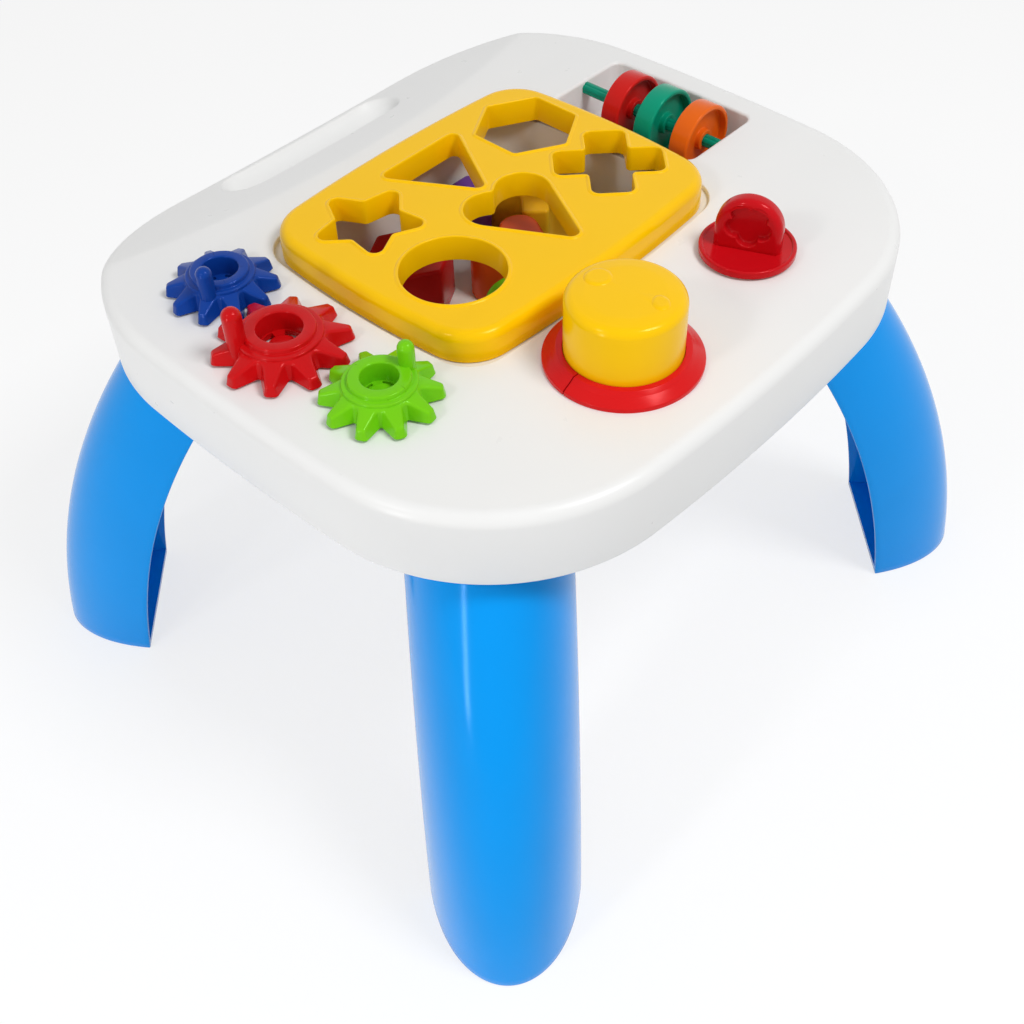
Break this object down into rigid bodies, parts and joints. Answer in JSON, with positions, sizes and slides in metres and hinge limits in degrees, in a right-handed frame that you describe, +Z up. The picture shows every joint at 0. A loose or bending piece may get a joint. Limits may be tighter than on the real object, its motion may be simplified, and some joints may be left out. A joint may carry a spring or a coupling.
{
  "type": "activity table",
  "caption": "Toddler activity table with a shape-sorter lid over a block bin, meshed toy gears, rollers on a rod, a press-down drum and a turning knob, on splayed legs.",
  "frame": {"origin": "on the floor, under the middle of the top", "axes": "+Z up, +X along the sorter lid from the gears towards the rollers, +Y towards the sloping flank with the groove"},
  "size_m": [0.5148, 0.4628, 0.358],
  "materials": {
    "white_plastic": "moulded gloss",
    "leg_blue": "moulded gloss",
    "yellow": "moulded gloss",
    "red": "moulded gloss",
    "deep_blue": "moulded gloss",
    "lime": "moulded gloss",
    "teal": "moulded gloss",
    "orange": "moulded gloss",
    "purple": "moulded gloss",
    "sky_blue": "moulded gloss",
    "bellows_grey": "soft matt",
    "screw_steel": "zinc plated"
  },
  "bodies": {
    "table": {"table_top": "white_plastic", "sorter_bin": "white_plastic", "drum_ring": "red", "drum_cup": "white_plastic", "drum_bellows": "bellows_grey", "roller_rod": "teal", "leg_back_right": "leg_blue", "leg_back_left": "leg_blue", "leg_front_left": "leg_blue", "leg_front_right": "leg_blue", "leg_screws": "screw_steel", "bin_screws": "screw_steel", "cup_screws": "screw_steel"},
    "lid": {"sorter_lid": "yellow"},
    "drum": {"drum_cap": "yellow"},
    "knob": {"knob": "red", "knob_washer": "white_plastic", "knob_screw": "screw_steel"},
    "gear_red": {"gear_red": "red", "gear_red_washer": "white_plastic", "gear_red_screw": "screw_steel"},
    "gear_blue": {"gear_blue": "deep_blue", "gear_blue_washer": "white_plastic", "gear_blue_screw": "screw_steel"},
    "gear_green": {"gear_green": "lime", "gear_green_washer": "white_plastic", "gear_green_screw": "screw_steel"},
    "roller_red": {"roller_red": "red"},
    "roller_teal": {"roller_teal": "teal"},
    "roller_orange": {"roller_orange": "orange"},
    "block_circle": {"block_circle": "lime"},
    "block_star": {"block_star": "sky_blue"},
    "block_triangle": {"block_triangle": "purple"},
    "block_hexagon": {"block_hexagon": "red"},
    "block_heart": {"block_heart": "orange"},
    "block_cross": {"block_cross": "yellow"}
  },
  "joints": [
    {"name": "lid_lift", "type": "slide", "parent": "table", "child": "lid", "axis": [0, 0, 1], "range_m": [0, 0.06]},
    {"name": "drum_press", "type": "slide", "parent": "table", "child": "drum", "axis": [0, 0, -1], "range_m": [0, 0.008], "stiffness_N_per_m": 300, "springref_m": -0.004, "deforming": ["drum_bellows"]},
    {"name": "knob_spin", "type": "hinge", "parent": "table", "child": "knob", "pos_m": [0.0738, -0.1263, 0.313], "axis": [0, 0, 1], "continuous": true},
    {"name": "gear_red_spin", "type": "hinge", "parent": "table", "child": "gear_red", "pos_m": [-0.165, 0.013, 0.313], "axis": [0, 0, 1], "continuous": true},
    {"name": "gear_blue_spin", "type": "hinge", "parent": "table", "child": "gear_blue", "pos_m": [-0.153, 0.079, 0.313], "axis": [0, 0, 1], "continuous": true},
    {"name": "gear_green_spin", "type": "hinge", "parent": "table", "child": "gear_green", "pos_m": [-0.157, -0.057, 0.313], "axis": [0, 0, 1], "continuous": true},
    {"name": "roller_red_spin", "type": "hinge", "parent": "table", "child": "roller_red", "pos_m": [0.162, 0.033, 0.307], "axis": [0, 1, 0], "continuous": true},
    {"name": "roller_teal_spin", "type": "hinge", "parent": "table", "child": "roller_teal", "pos_m": [0.162, 0.0055, 0.307], "axis": [0, 1, 0], "continuous": true},
    {"name": "roller_orange_spin", "type": "hinge", "parent": "table", "child": "roller_orange", "pos_m": [0.162, -0.0245, 0.307], "axis": [0, 1, 0], "continuous": true},
    {"name": "block_circle_lift", "type": "slide", "parent": "table", "child": "block_circle", "axis": [0, 0, 1], "range_m": [0, 0.024]},
    {"name": "block_star_lift", "type": "slide", "parent": "table", "child": "block_star", "axis": [0, 0, 1], "range_m": [0, 0.024]},
    {"name": "block_triangle_lift", "type": "slide", "parent": "table", "child": "block_triangle", "axis": [0, 0, 1], "range_m": [0, 0.024]},
    {"name": "block_hexagon_lift", "type": "slide", "parent": "table", "child": "block_hexagon", "axis": [0, 0, 1], "range_m": [0, 0.024]},
    {"name": "block_heart_lift", "type": "slide", "parent": "table", "child": "block_heart", "axis": [0, 0, 1], "range_m": [0, 0.024]},
    {"name": "block_cross_lift", "type": "slide", "parent": "table", "child": "block_cross", "axis": [0, 0, 1], "range_m": [0, 0.024]}
  ],
  "couplings": [
    {"joint": "gear_blue_spin", "follows": "gear_red_spin", "ratio": -1},
    {"joint": "gear_green_spin", "follows": "gear_red_spin", "ratio": -1}
  ]
}
